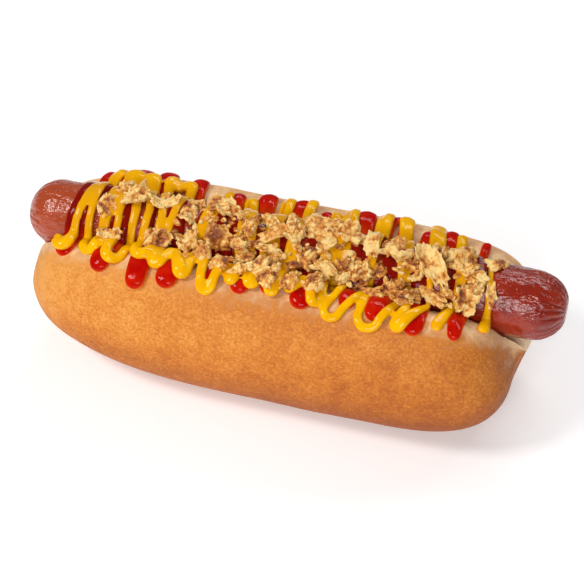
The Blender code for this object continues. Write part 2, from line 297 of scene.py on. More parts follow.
class Recipe:
    """Builds one material from plain calls."""

    def __init__(self, name: str) -> None:
        """Starts a material with one Principled shader.

        Args:
            name: the material's name.
        """
        self.material = bpy.data.materials.new(name)
        self.material.use_nodes = True
        self.tree = self.material.node_tree
        self.shader = self.tree.nodes["Principled BSDF"]
        self.place = self.node("ShaderNodeTexCoord", {}, {}).outputs["Object"]

    def node(self, kind: str, settings: dict, inputs: dict) -> bpy.types.Node:
        """Adds a node.

        Args:
            kind: the node's type.
            settings: its properties, set first; "stops" fills a colour ramp with (position, colour) pairs.
            inputs: values or links for its sockets, by name or number.

        Returns:
            The node.
        """
        node = self.tree.nodes.new(kind)
        for key, value in settings.items():
            if key == "stops":
                self._fill_ramp(node.color_ramp, value)
            else:
                setattr(node, key, value)
        for key, value in inputs.items():
            self.feed(node.inputs[key], value)
        return node

    @staticmethod
    def _fill_ramp(ramp: bpy.types.ColorRamp, stops: list[tuple[float, Colour]]) -> None:
        """Gives a ramp its stops."""
        for extra in range(len(stops) - 2):
            ramp.elements.new(0.5 + extra / 100)
        for element, (position, colour) in zip(ramp.elements, stops):
            element.position = position
            element.color = (*colour, 1)

    def feed(self, socket: bpy.types.NodeSocket, value: object) -> None:
        """Links a socket, or sets its value.

        Args:
            socket: the input.
            value: another socket, a Shade, a number, a colour or a vector.
        """
        if isinstance(value, Shade):
            value = value.socket
        if isinstance(value, bpy.types.NodeSocket):
            self.tree.links.new(value, socket)
        elif isinstance(value, tuple) and socket.type == "RGBA":
            socket.default_value = (*value, 1)
        else:
            socket.default_value = value

    def grain(self, size: float, detail: float = 2, stretch: tuple = (1, 1, 1), rough: float = 0.5) -> Shade:
        """Noise from about 0 to 1.

        Args:
            size: the size of its lumps, in metres.
            detail: how many finer layers it has.
            stretch: how much longer its lumps are along X, Y and Z.
            rough: how strong the finer layers are.

        Returns:
            The noise.
        """
        scale = tuple(1 / (size * part) for part in stretch)
        mapped = self.node("ShaderNodeMapping", {}, {"Vector": self.place, "Scale": scale})
        inputs = {"Vector": mapped.outputs[0], "Scale": 1, "Detail": detail, "Roughness": rough}
        return Shade(self.tree, self.node("ShaderNodeTexNoise", {}, inputs).outputs[0])

    def pits(self, size: float) -> Shade:
        """The distance to the nearest of many points, in units of their spacing, which is given in metres."""
        inputs = {"Vector": self.place, "Scale": 1 / size}
        return Shade(self.tree, self.node("ShaderNodeTexVoronoi", {}, inputs).outputs["Distance"])

    def mark(self, name: str) -> Shade:
        """The surface's own values of this name."""
        return Shade(self.tree, self.node("ShaderNodeAttribute", {"attribute_name": name}, {}).outputs["Fac"])

    def mottled(self, name: str, *grains: tuple[Shade, float]) -> Shade:
        """The surface's own values with noises about them: mark + the sum of (noise - 0.5) * strength.

        Args:
            name: the mark's name.
            *grains: noises, and how strong each is.

        Returns:
            The result.
        """
        value = self.mark(name)
        for grain, strength in grains:
            value = value + (grain - 0.5) * strength
        return value

    def axis(self, letter: str) -> Shade:
        """One coordinate, in metres."""
        split = self.node("ShaderNodeSeparateXYZ", {}, {0: self.place})
        return Shade(self.tree, split.outputs[letter])

    def step(self, value: Shade, low: float, high: float) -> Shade:
        """0 at low and 1 at high, smooth between.

        Args:
            value: the number.
            low: where the result is 0.
            high: where it is 1.

        Returns:
            The result.
        """
        inputs = {"Value": value, "From Min": low, "From Max": high}
        settings = {"interpolation_type": "SMOOTHSTEP"}
        return Shade(self.tree, self.node("ShaderNodeMapRange", settings, inputs).outputs[0])

    def blend(self, share: Shade | float, first: object, second: object) -> bpy.types.NodeSocket:
        """A blend of two colours.

        Args:
            share: how much of the second.
            first: a colour.
            second: a colour.

        Returns:
            The colour.
        """
        node = self.node("ShaderNodeMix", {"data_type": "RGBA"}, {0: share, 6: first, 7: second})
        return node.outputs[2]

    def ramp(self, value: Shade, stops: list[tuple[float, Colour]]) -> bpy.types.NodeSocket:
        """A colour from a ramp."""
        return self.node("ShaderNodeValToRGB", {"stops": stops}, {"Fac": value}).outputs[0]

    def relief(self, height: Shade, depth: float, strength: float = 1.0) -> None:
        """Feeds the shader's normal from a height.

        Args:
            height: the height, from 0 to 1.
            depth: what 1 stands for, in metres.
            strength: the bump's strength.
        """
        bump = self.node("ShaderNodeBump", {}, {"Height": height, "Distance": depth, "Strength": strength})
        self.feed(self.shader.inputs["Normal"], bump.outputs[0])

    def finish(self, **inputs: object) -> bpy.types.Material:
        """Feeds the shader's sockets, named with underscores for spaces.

        Args:
            **inputs: values or links.

        Returns:
            The material.
        """
        for key, value in inputs.items():
            self.feed(self.shader.inputs[key.replace("_", " ")], value)
        return self.material


@dataclass(frozen=True)
class Crust:
    """The roll's baked skin and its pale crumb, with some painted light and shade in its colour."""

    pale: Colour = (0.72, 0.31, 0.056)
    golden: Colour = (0.60, 0.192, 0.021)
    tan: Colour = (0.43, 0.112, 0.009)
    brown: Colour = (0.30, 0.067, 0.007)
    cream: Colour = (0.88, 0.59, 0.32)
    crumb: Colour = (0.86, 0.66, 0.42)
    roughness: float = 0.62
    gloss: float = 0.3
    blotch_size: float = 0.012
    fleck_size: float = 0.0030
    grain_size: float = 0.0008
    depth: float = 0.00035

    def build(self) -> bpy.types.Material:
        """Runs from pale gold to brown by the roll's marks, with cream and crumb, all mottled by noises."""
        recipe = Recipe("baked_crust")
        blotch = recipe.grain(self.blotch_size, 3)
        grain = recipe.grain(self.grain_size, 3, stretch=(1.2, 1, 1), rough=0.6)
        fleck = recipe.grain(self.fleck_size, 3)
        # The bake mark also carries painted shade: the ramp runs darker downwards and to the right.
        bake_and_shade = recipe.mottled("bake_and_shade", (blotch, 0.5), (fleck, 0.35), (grain, 1.1))
        tones = [(0.0, self.pale), (0.33, self.golden), (0.66, self.tan), (1.0, self.brown)]
        colour = recipe.ramp(bake_and_shade, tones)
        cream = recipe.mottled("cream", (blotch, 0.5), (fleck, 0.6), (grain, 0.5))
        colour = recipe.blend(recipe.step(cream, 0.25, 1.0), colour, self.cream)
        crumb = recipe.mottled("crumb", (fleck, 0.6), (grain, 0.4))
        colour = recipe.blend(recipe.step(crumb, 0.35, 0.8), colour, self.crumb)
        recipe.relief(grain * 0.8 + fleck * 0.8 + recipe.mark("crumb") * grain, self.depth, 0.8)
        rough = self.roughness + (grain - 0.5) * 0.2
        return recipe.finish(Base_Color=colour, Roughness=rough, Specular_IOR_Level=self.gloss)


@dataclass(frozen=True)
class SausageSkin:
    """Smoked skin: dark red-brown, moist and finely wrinkled, with pale specks."""

    deep: Colour = (0.21, 0.008, 0.001)
    warm: Colour = (0.32, 0.020, 0.003)
    # A paler colour painted on the left end as a reflection.
    painted_sheen: Colour = (0.36, 0.050, 0.012)
    speck: Colour = (0.75, 0.42, 0.28)
    roughness: float = 0.10
    gloss: float = 0.55
    painted_sheen_span: tuple = (0.02, -0.08)
    cloud_size: float = 0.009
    patch_size: float = 0.0034
    fine_size: float = 0.0009
    speck_spacing: float = 0.0022
    depth: float = 0.00040

    def build(self) -> bpy.types.Material:
        """Blends two reds in clouds, adds a painted sheen towards the left, specks and wrinkles, and dulls
        patches.
        """
        recipe = Recipe("smoked_skin")
        cloud = recipe.grain(self.cloud_size, 3)
        fine = recipe.grain(self.fine_size, 3, stretch=(1.6, 1, 1))
        colour = recipe.blend(recipe.step(cloud, 0.3, 0.75), self.deep, self.warm)
        # Painted reflection: the skin turns paler and warmer towards the left end.
        colour = recipe.blend(recipe.step(recipe.axis("X"), *self.painted_sheen_span), colour, self.painted_sheen)
        dots = recipe.step(recipe.pits(self.speck_spacing), 0.16, 0.08)
        specks = dots * recipe.step(recipe.grain(0.004, 1), 0.5, 0.6)
        colour = recipe.blend(specks * 0.55, colour, self.speck)
        patch = recipe.grain(self.patch_size, 4, stretch=(1.6, 1, 1), rough=0.55)
        recipe.relief(fine * 0.3 + patch * 3.0, self.depth, 0.9)
        rough = self.roughness + recipe.step(patch, 0.45, 0.7) * 0.12
        return recipe.finish(Base_Color=colour, Roughness=rough, Specular_IOR_Level=self.gloss)


@dataclass(frozen=True)
class Sauce:
    """A wet, opaque sauce."""

    name: str
    light: Colour
    deep: Colour
    thin_and_shaded: Colour
    edge: Colour
    roughness: float
    gloss: float
    depth: float = 0.0002
    cloud_size: float = 0.004
    ripple_size: float = 0.0016

    def build(self) -> bpy.types.Material:
        """Blends two close tones in clouds, with others over the sausage and at the edges, partly painted
        shade.
        """
        recipe = Recipe(self.name)
        cloud = recipe.grain(self.cloud_size, 2)
        ripple = recipe.grain(self.ripple_size, 2)
        colour = recipe.blend(recipe.step(cloud, 0.3, 0.75), self.deep, self.light)
        # Over the sausage the sauce is darker: partly thin sauce on the dark skin, partly painted shade.
        colour = recipe.blend(recipe.mark("thin_and_shaded"), colour, self.thin_and_shaded)
        # At the edges: mustard's darker tone is painted shade; ketchup's orange is its thin edge.
        colour = recipe.blend(recipe.mark("edge"), colour, self.edge)
        recipe.relief(ripple, self.depth, 0.5)
        rough = self.roughness + recipe.step(cloud, 0.5, 0.8) * 0.08
        return recipe.finish(Base_Color=colour, Roughness=rough, Specular_IOR_Level=self.gloss)


@dataclass(frozen=True)
class FriedOnion:
    """Crisp fried onion, rough and a little oily: pale rims, painted light on its bubbles, painted shade in
    hollows.
    """

    pale: Colour = (0.98, 0.68, 0.25)
    gold: Colour = (0.84, 0.38, 0.055)
    brown: Colour = (0.56, 0.17, 0.018)
    dark: Colour = (0.24, 0.055, 0.007)
    roughness: float = 0.34
    gloss: float = 0.6
    blister_size: float = 0.0012
    fine_size: float = 0.0004
    depth: float = 0.0007

    def build(self) -> bpy.types.Material:
        """Runs from pale to dark by each flake's own mark and two grains."""
        recipe = Recipe("fried_onion")
        blister = recipe.grain(self.blister_size, 4, rough=0.6)
        fine = recipe.grain(self.fine_size, 3, rough=0.6)
        # Toast also carries painted shade in the hollows and painted light on the bubbles.
        toast = recipe.mottled("toast", (blister, 1.2), (fine, 0.9))
        tones = [(0.10, self.pale), (0.42, self.gold), (0.72, self.brown), (1.0, self.dark)]
        colour = recipe.ramp(toast, tones)
        recipe.relief(fine * 0.6 + blister, self.depth, 0.9)
        rough = self.roughness + (fine - 0.5) * 0.3
        return recipe.finish(Base_Color=colour, Roughness=rough, Specular_IOR_Level=self.gloss)


@dataclass(frozen=True)
class Tabletop:
    """A plain pale studio floor."""

    colour: Colour = (0.94, 0.94, 0.95)
    mottle: Colour = (0.88, 0.88, 0.88)
    roughness: float = 0.8
    gloss: float = 0.2
    glow: float = 0.20

    def build(self) -> bpy.types.Material:
        """A matte near-white with the faintest mottle, and a little white glow of its own."""
        recipe = Recipe("studio_floor")
        tone = recipe.blend(recipe.grain(0.05, 2) * 0.04, self.colour, self.mottle)
        return recipe.finish(
            Base_Color=tone,
            Roughness=self.roughness,
            Specular_IOR_Level=self.gloss,
            Emission_Strength=self.glow,
        )


# ------------------------------------------------------------------------------
# The roll and the sausage
# ------------------------------------------------------------------------------


@dataclass
class Sausage:
    """The frankfurter in the slot: a straight tube with rounded ends that pucker into creases."""

    length: float = 0.184
    radius: float = 0.0113
    height: float = 0.0440
    creases: int = 22
    pucker: float = 0.0024
    pucker_span: tuple = (0.019, 0.003)
    dimple: float = 0.0006
    swell: float = 0.00025
    wrinkle: float = 0.00013
    around: int = 260
    rows: int = 330

    def radius_at(self, x: np.ndarray) -> np.ndarray:
        """The smooth radius: constant, and a quarter circle at both ends."""
        beyond = np.maximum(np.abs(x) - (self.length / 2 - self.radius), 0) / self.radius
        return self.radius * np.sqrt(np.maximum(1 - beyond**2, 0))

    def surface(self) -> Surface:
        """The skin.

        A profile runs from pole to pole by arc length and is turned about the axis. Along it the radius gets
        slow unevenness, fine wrinkles, and creases that deepen towards each pole: |sin(n a / 2)|^0.6 of the
        angle a, bent sideways by noise. The poles are drawn in a little.

        Returns:
            The surface.
        """
        cap = self.radius * math.pi / 2
        straight = self.length - 2 * self.radius
        run = np.linspace(0, 2 * cap + straight, self.rows + 2)[1:-1]
        lap = np.minimum(run, run[-1] + run[0] - run)
        turn = np.clip(lap / self.radius, 0, math.pi / 2)
        radius = self.radius * np.sin(turn)
        rounded = self.length / 2 - self.radius * (1 - np.cos(turn))
        x = np.where(lap < cap, rounded, self.length / 2 - self.radius - (lap - cap))
        x = np.where(run < run.mean(), -x, x)
        angle = np.linspace(0, 2 * math.pi, self.around, endpoint=False)
        ring = (self.radius * np.cos(angle), self.radius * np.sin(angle))
        spot = np.stack(np.broadcast_arrays(x[:, None], *ring), -1)
        sway = noise(spot, 0.006, 3) * 0.5 + noise(spot, 0.0025, 4) * 0.25
        near = ease(lap, *self.pucker_span)[:, None]
        fold = np.abs(np.sin(self.creases / 2 * angle + 2.4 * sway)) ** 0.6
        depth = self.pucker * near * (0.35 + 0.65 * ease(noise(spot, 0.008, 9), -0.5, 0.4))
        uneven = self.swell * noise(spot, 0.03, 5)
        uneven = uneven + self.wrinkle * rough_noise(spot * (0.6, 1, 1), 0.0032, 2, 6)
        grow = 1 + (uneven + depth * (fold - 0.8)) / self.radius * ease(radius, 0, 0.004)[:, None]
        reach = radius[:, None] * grow
        inward = np.sign(x)[:, None] * self.dimple * near * ease(radius, 0.005, 0)[:, None]
        along = np.broadcast_to(x[:, None] - inward, reach.shape)
        rings = np.stack([along, reach * np.cos(angle), self.height + reach * np.sin(angle)], -1)
        return Surface(rings, tube_faces(self.rows, self.around)).outward()

    def build(self) -> bpy.types.Object:
        """Makes the sausage in place of its plain node."""
        piece = self.surface().piece("smoked_sausage", SausageSkin().build())
        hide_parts("sausage")
        return piece


@dataclass
class Roll:
    """The split roll: one U-shaped section that shrinks towards both ends."""

    sausage: Sausage
    length: float = 0.169
    shift: float = -0.0050
    clearance: float = 0.0005
    slot_angles: tuple = (0, 27, 54, 81)
    lobe: tuple = (
        (0.0150, 0.0468),
        (0.0215, 0.0484),
        (0.0290, 0.0456),
        (0.0350, 0.0360),
        (0.0374, 0.0250),
        (0.0347, 0.0120),
        (0.0261, 0.0025),
        (0.0140, -0.0010),
        (0.0000, -0.0015),
    )
    end_height: float = 0.0240
    front_roundness: tuple = (3.4, 4.2)
    back_roundness: tuple = (6.0, 4.8)
    back_lobe: tuple = (1.01, 0.96)
    back_lobe_span: tuple = (-0.060, -0.015)
    side_roundness: tuple = (3.0, 4.6)
    sole_roundness: tuple = (2.5, 3.6)
    front_lean: tuple = (0.0035, 0.0060)
    back_lean: tuple = (0.0, 0.0035)
    lean_height: float = 0.025
    lean_rise: float = 0.016
    far_span: tuple = (0.050, 0.083)
    far_out: float = 0.0034
    far_in: float = 0.0010
    dent: float = 0.00045
    ripple: float = 0.00018
    crease: float = 0.00036
    tear: float = 0.00035
    steps: int = 11
    middle_rows: int = 230
    end_rows: int = 34

    def stations(self) -> np.ndarray:
        """X of the rings before the shift: even in the middle, then spaced by the section's size."""
        size = np.linspace(0.75, 0.03, self.end_rows)
        ends = [(1 - size**power) ** (1 / power) for power in self.side_roundness]
        middle = np.linspace(-ends[0][0], ends[1][0], self.middle_rows + 2)[1:-1]
        return np.concatenate([-ends[0][::-1], middle, ends[1]]) * self.length / 2

    def taper(self, x: np.ndarray, roundness: tuple) -> np.ndarray:
        """The relative size at each station: (1 - share^n)^(1/n), with its own n towards each end."""
        share = np.minimum(np.abs(2 * x / self.length), 1)
        power = np.where(x < 0, *roundness)
        return ((1 - share**power) ** (1 / power))[:, None]

    def section(self) -> np.ndarray:
        """The closed section at mid-length, (Y, Z), a Catmull-Rom curve from the slot's floor all round."""
        angles = np.radians(self.slot_angles)
        reach = self.sausage.radius + self.clearance
        wall = reach * np.column_stack([np.sin(angles), -np.cos(angles)]) + (0, self.sausage.height)
        half = np.concatenate([wall, self.lobe])
        ring = np.concatenate([half[:-1], half[:0:-1] * (-1, 1)])
        a, b, c, d = (np.roll(ring, -k, 0)[:, None, :] for k in (-1, 0, 1, 2))
        t = (np.arange(self.steps) / self.steps)[None, :, None]
        curve = 2 * b + (c - a) * t + (2 * a - 5 * b + 4 * c - d) * t**2 + (3 * b - a - 3 * c + d) * t**3
        return 0.5 * curve.reshape(-1, 2)

    def lean(self, x: np.ndarray, across: np.ndarray, z: np.ndarray) -> np.ndarray:
        """How far the tops of the lobes are drawn in towards the middle.

        It grows with height, and with the square of the nearness to the end, from 0 at three quarters of the
        way there.

        Args:
            x: the stations.
            across: the section's Y at mid-length.
            z: the points' heights.

        Returns:
            The distance to take from X.
        """
        x = x[:, None]
        near = np.clip(np.abs(2 * x / self.length) * 4 - 3, 0, 1) ** 2 * np.sign(x)
        front, back = (np.where(x < 0, *lean) for lean in (self.front_lean, self.back_lean))
        share = np.clip(0.5 - across / 0.020, 0, 1)
        return near * (back + (front - back) * share) * np.clip((z - self.lean_height) / self.lean_rise, 0, 1)

    def rings(self) -> np.ndarray:
        """The smooth roll's rings of points, clear of the sausage and flat underneath.

        Towards the right end the upper back moves out by far_out less far_in, and the rest in by far_in.
        """
        x = self.stations()
        ring = self.section()
        across, rise = ring[None, :, 0], ring[None, :, 1] - self.end_height
        back = np.interp(x, self.back_lobe_span, self.back_lobe)[:, None] * self.taper(x, self.back_roundness)
        top = np.where(across < 0, self.taper(x, self.front_roundness), back)
        rings = np.zeros((len(x), len(ring), 3))
        rings[..., 0] = x[:, None] + self.shift
        rings[..., 1] = across * self.taper(x, self.side_roundness)
        rings[..., 2] = self.end_height + rise * np.where(rise > 0, top, self.taper(x, self.sole_roundness))
        rings[..., 0] -= self.lean(x, across, rings[..., 2])
        behind = self.far_out * ease(rings[..., 1], -0.010, 0.004) * ease(rings[..., 2], 0.012, 0.028)
        rings[..., 0] += ease(x, *self.far_span)[:, None] * (behind - self.far_in)
        y, up = rings[..., 1], rings[..., 2] - self.sausage.height
        grow = np.maximum(1, (self.sausage.radius + self.clearance) / np.maximum(np.hypot(y, up), 1e-9))
        rings[..., 1] = y * grow
        rings[..., 2] = np.maximum(self.sausage.height + up * grow, 0)
        return rings

    def marks(self, rings: np.ndarray, step: np.ndarray) -> dict[str, np.ndarray]:
        """Where the roll is torn crumb, pale cream, or baked brown with painted shade.

        Crumb is inside the slot. Cream covers the lips, reaches further down behind, and runs round the upper
        edges of both ends; behind, it is partly pale crust and partly painted light on the back lobe's top.
        Bake_and_shade is partly baked brown and partly painted shade: it grows downwards and to the right,
        most at the lower right, away from the light from the upper left, and it pales at the left end.

        Args:
            rings: the smooth roll's rings of points.
            step: how far each point of a ring lies from the slot's floor, in points of the section.

        Returns:
            The marks crumb, cream and bake_and_shade.
        """
        x, y, z = rings[..., 0] - self.shift, rings[..., 1], rings[..., 2]
        crumb = ease(step, 4.35, 3.4)[None, :] * np.ones((len(rings), 1))
        right = 1.2 * ease(x, 0.0785, 0.0836) * ease(step, 9.2, 5.6)[None, :] * ease(z, 0.016, 0.038)
        # Behind, the cream is partly pale crust and partly painted light on the back lobe's top.
        back = 0.7 * ease(y, 0.006, 0.014) * ease(step, 8.4, 6.2)[None, :]
        left = 0.6 * (ease(x, -0.070, -0.083) * ease(z, 0.034, 0.044))
        lips = ease(step, 6.9, 4.3)[None, :]
        low = ease(z, 0.036, 0.004)
        # Painted shade: the bake mark darkens downwards and to the right, most at the lower right, away from
        # the light.
        bake_and_shade = 0.22 + 0.42 * low + 0.22 * ease(x, -0.06, 0.06)
        bake_and_shade += 0.12 * low * ease(x, 0.0, 0.06) - 0.20 * ease(x, -0.055, -0.080)
        cream = np.maximum(np.maximum(lips, back), np.maximum(right, left))
        return {"crumb": crumb, "cream": cream, "bake_and_shade": bake_and_shade}

    def surface(self) -> Surface:
        """The crust with its dents and its torn crumb.

        The smooth rings move along their normals by slow noise, by creases that run with the roll near the
        lips, and by a coarse noise on the crumb. The flat sole and the lower slot are left alone.

        Returns:
            The surface, with the marks crumb, cream and bake_and_shade.
        """
        rings = self.rings()
        along = np.gradient(rings, axis=0)
        round_ = np.roll(rings, -1, 1) - np.roll(rings, 1, 1)
        normal = unit(np.cross(round_, along))
        count = rings.shape[1]
        step = np.minimum(np.arange(count), count - np.arange(count)) / self.steps
        marks = self.marks(rings, step)
        stretched = rings * (0.45, 1, 1)
        move = self.dent * noise(rings, 0.030, 11) + self.ripple * noise(stretched, 0.007, 12)
        move += self.crease * ease(step, 7.0, 5.0)[None, :] * -np.abs(noise(stretched, 0.0045, 13))
        move += marks["crumb"] * self.tear * rough_noise(rings, 0.0022, 3, 14)
        move *= ease(rings[..., 2], 0.0, 0.004)
        inside = ease(step, 3.2, 2.4)[None, :]
        rings = rings + normal * (move * (1 - inside))[..., None]
        rings[..., 2] = np.maximum(rings[..., 2], 0)
        return Surface(rings, tube_faces(*rings.shape[:2]), marks).outward()

    def build(self) -> bpy.types.Object:
        """Makes the roll in place of its plain node."""
        piece = self.surface().piece("split_roll", Crust().build())
        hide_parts("bun")
        return piece


# ------------------------------------------------------------------------------
# What is laid over them
# ------------------------------------------------------------------------------


@dataclass
class Spread:
    """A height map round the centre line, from which toppings learn what they lie on.

    A place is X and an angle: 0 is straight up and minus is the front. The height is the distance from the
    line, which runs along X at the given height over the ground.
    """

    height: float = 0.020
    arm: float = 0.0350
    step: float = 0.0004
    reach: float = 0.0960
    swing: float = math.radians(62)

    def __post_init__(self) -> None:
        """Lays out the empty grid."""
        self.x = np.arange(-self.reach, self.reach, self.step)
        self.angle = np.arange(-self.swing, self.swing, self.step / self.arm)
        self.top = np.zeros((len(self.x), len(self.angle)))

    def cover(self, roll: Roll, sausage: Sausage) -> None:
        """Raises the map to the roll and the sausage.

        The sausage's height is c cos(a) + sqrt(r^2 - c^2 sin^2(a)), where c is its axis above the line and r
        its radius at that X. The roll's is read along each ring of points, from the lip outwards, and then
        along X.

        Args:
            roll: the split roll.
            sausage: the sausage in it.
        """
        rise = sausage.height - self.height
        square = sausage.radius_at(self.x)[:, None] ** 2 - (rise * np.sin(self.angle)) ** 2
        hit = rise * np.cos(self.angle) + np.sqrt(np.maximum(square, 0))
        self.top = np.where(square > 0, hit, 0)
        rings = roll.rings()
        first, last = int(3.2 * roll.steps), int(8.5 * roll.steps)
        profile = np.zeros((len(rings), len(self.angle)))
        for side, picked in ((1, rings[:, first:last]), (-1, rings[:, ::-1][:, first - 1 : last - 1])):
            bearing = side * np.arctan2(picked[..., 1], picked[..., 2] - self.height)
            distance = np.hypot(picked[..., 1], picked[..., 2] - self.height)
            rows = [np.interp(side * self.angle, b, d, 0, 0) for b, d in zip(bearing, distance)]
            profile = np.maximum(profile, rows)
        station = rings[:, 0, 0]
        spot = np.clip(np.searchsorted(station, self.x), 1, len(station) - 1)
        share = ((self.x - station[spot - 1]) / (station[spot] - station[spot - 1]))[:, None]
        between = profile[spot - 1] * (1 - share) + profile[spot] * share
        inside = (self.x > station[0]) & (self.x < station[-1])
        self.top = np.maximum(self.top, np.where(inside[:, None], between, 0))

    def cells(self, x: np.ndarray, angle: np.ndarray) -> tuple[np.ndarray, np.ndarray]:
        """The map's cells at these places."""
        row = np.clip(np.round((x + self.reach) / self.step).astype(int), 0, len(self.x) - 1)
        column = np.round((angle + self.swing) / (self.step / self.arm)).astype(int)
        return row, np.clip(column, 0, len(self.angle) - 1)

    def disc(self, radius: float) -> tuple[np.ndarray, np.ndarray, np.ndarray]:
        """The cells under a ball, as offsets along X and round, and how deep the ball is there."""
        span = np.arange(-radius, radius + self.step / 2, self.step)
        along, aside = (part.ravel() for part in np.meshgrid(span, span))
        keep = along**2 + aside**2 <= radius**2
        along, aside = along[keep], aside[keep]
        return along, aside / self.arm, np.sqrt(radius**2 - along**2 - aside**2)

    def rest(self, x: np.ndarray, angle: np.ndarray, radius: float) -> np.ndarray:
        """How far out the centre of a ball lies when it rests on the map: the highest of top + its own depth.

        Args:
            x: places along X.
            angle: places round the line.
            radius: the ball's radius.

        Returns:
            The centres' distances from the line.
        """
        along, aside, depth = self.disc(radius)
        row, column = self.cells(x[..., None] + along, angle[..., None] + aside)
        return (self.top[row, column] + depth).max(-1)

    def deposit(self, x: np.ndarray, angle: np.ndarray, centre: np.ndarray, radius: float) -> None:
        """Raises the map to balls at these places.

        Args:
            x: places along X.
            angle: places round the line.
            centre: the balls' distances from the line.
            radius: their radius.
        """
        along, aside, depth = self.disc(radius)
        row, column = self.cells(x[:, None] + along, angle[:, None] + aside)
        np.maximum.at(self.top, (row, column), centre[:, None] + depth)

    def outward(self, angle: np.ndarray) -> np.ndarray:
        """The direction away from the line at each angle."""
        return np.stack([np.zeros_like(angle), np.sin(angle), np.cos(angle)], -1)

    def place(self, x: np.ndarray, angle: np.ndarray, distance: np.ndarray) -> np.ndarray:
        """Points at these places and distances from the line."""
        centre = np.stack([x, np.zeros_like(x), np.full_like(x, self.height)], -1)
        return centre + self.outward(angle) * distance[..., None]


